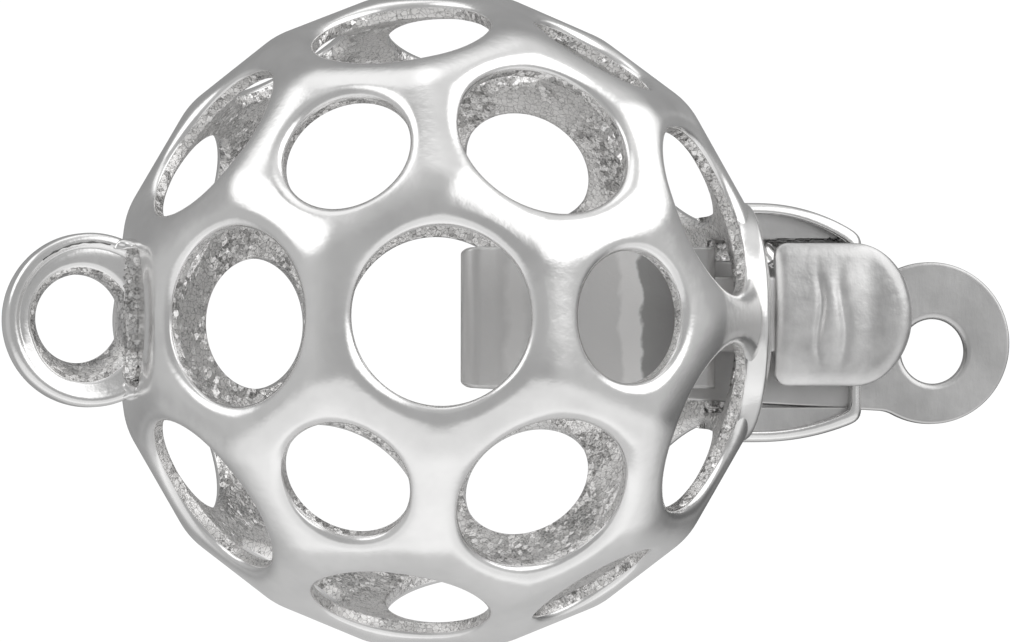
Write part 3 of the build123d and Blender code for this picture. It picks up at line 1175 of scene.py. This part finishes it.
# The lever
strip = folded_strip(wear_and_light)
blend_start = in_part([(fold_reach, 0, blend_low)])[0]
blend_end = in_part([(fold_reach, 0, blend_high)])[0]
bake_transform(strip)
lever_pieces = [thumb_tab(pressed), neck(satin)]
for piece in lever_pieces:
    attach(piece, "lever")
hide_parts("thumb_lever")


# Floor, light and camera


def light_from(tree, towards):
    """The studio light that comes from a direction: the tent and its soft boxes."""
    raised = vector_math(tree, "ADD", towards, (0, 0, 1))
    halfway = vector_math(tree, "NORMALIZE", raised)
    flat = vector_math(tree, "MULTIPLY", halfway, (1, 1, 0))
    reach = vector_math(tree, "LENGTH", flat, result="Value")
    # At the half-way circle's edge the light dims: on the table this is painted shade near the
    # clasp
    light = map_range(tree, reach, RIM_START, 1.0, TENT_LIGHT, TENT_LIGHT - RIM_SHADE)
    for middle, size, turn, softness, strength in SOFT_BOXES:
        moved = vector_math(tree, "SUBTRACT", flat, (middle[0], middle[1], 0))
        inputs = {"Vector": moved, "Angle": radians(-turn)}
        turned = add_node(tree, "ShaderNodeVectorRotate", inputs, rotation_type="Z_AXIS")
        share = (1 / size[0], 1 / size[1], 0)
        scaled = vector_math(tree, "MULTIPLY", turned.outputs["Vector"], share)
        off = vector_math(tree, "LENGTH", scaled, result="Value")
        fade = map_range(tree, off, 1 + softness, 1 - softness, 0.0, strength, "SMOOTHSTEP")
        light = number_math(tree, "ADD", light, fade)
    return light


def table_material():
    """A surface that gives its own light and takes no shadow. The camera sees it plain
    white, and the metal sees the studio's light in it, carried on below the horizon."""
    material = bpy.data.materials.new("white_table")
    material.use_nodes = True
    tree = material.node_tree
    tree.nodes.remove(tree.nodes["Principled BSDF"])
    place = add_node(tree, "ShaderNodeTexCoord").outputs["Object"]
    off = vector_math(tree, "SUBTRACT", place, (ball_centre.x, 0, MIRROR_HEIGHT))
    # Seen from above the clasp, the table's light dims close to it: painted shade, as it takes no
    # shadow
    light = light_from(tree, vector_math(tree, "NORMALIZE", off))
    lit = add_node(tree, "ShaderNodeEmission", {"Strength": light})
    plain = add_node(tree, "ShaderNodeEmission", {"Strength": TABLE_WHITE})
    seen = add_node(tree, "ShaderNodeLightPath").outputs["Is Camera Ray"]
    inputs = {"Fac": seen, 1: lit.outputs["Emission"], 2: plain.outputs["Emission"]}
    either = add_node(tree, "ShaderNodeMixShader", inputs).outputs["Shader"]
    fill(tree, tree.nodes["Material Output"], {"Surface": either})
    return material


def floor():
    """The wide flat table top under the clasp."""
    mesh = bpy.data.meshes.new("table_top")
    half = TABLE_HALF
    corners = [(-half, -half, 0), (half, -half, 0), (half, half, 0), (-half, half, 0)]
    mesh.from_pydata(corners, [], [(0, 1, 2, 3)])
    mesh.materials.append(table_material())
    table = bpy.data.objects.new("table_top", mesh)
    bpy.context.scene.collection.objects.link(table)


def studio():
    """Soft studio light: a grey tent with large soft boxes."""
    world = bpy.data.worlds.new("studio")
    bpy.context.scene.world = world
    world.use_nodes = True
    tree = world.node_tree
    place = add_node(tree, "ShaderNodeTexCoord").outputs["Generated"]
    light = light_from(tree, place)
    fill(tree, tree.nodes["Background"], {"Color": (1, 1, 1, 1), "Strength": light})


def camera():
    """A long lens straight above the clasp, with the photograph's small lean."""
    lean = Vector(CAMERA_LEAN)
    turn = Matrix.Rotation(lean.length, 3, lean).transposed()
    right, up, back = (turn @ Vector(axis) for axis in ((1, 0, 0), (0, 1, 0), (0, 0, 1)))
    scale = PHOTO_SCALE / MM
    off = right * FRAME_MIDDLE[0] + up * FRAME_MIDDLE[1] + back * CAMERA_DISTANCE
    data = bpy.data.cameras.new("camera")
    data.sensor_width = SENSOR_WIDTH
    data.lens = SENSOR_WIDTH * CAMERA_DISTANCE / PHOTO_WIDTH
    data.clip_start = 0.01
    data.clip_end = 10
    view = bpy.data.objects.new("camera", data)
    bpy.context.scene.collection.objects.link(view)
    rows = Matrix((right, up, back)).transposed().to_4x4()
    view.matrix_world = Matrix.Translation(ball_centre + off / scale) @ rows
    bpy.context.scene.camera = view


floor()
studio()
camera()
bpy.context.scene.view_settings.view_transform = "Standard"
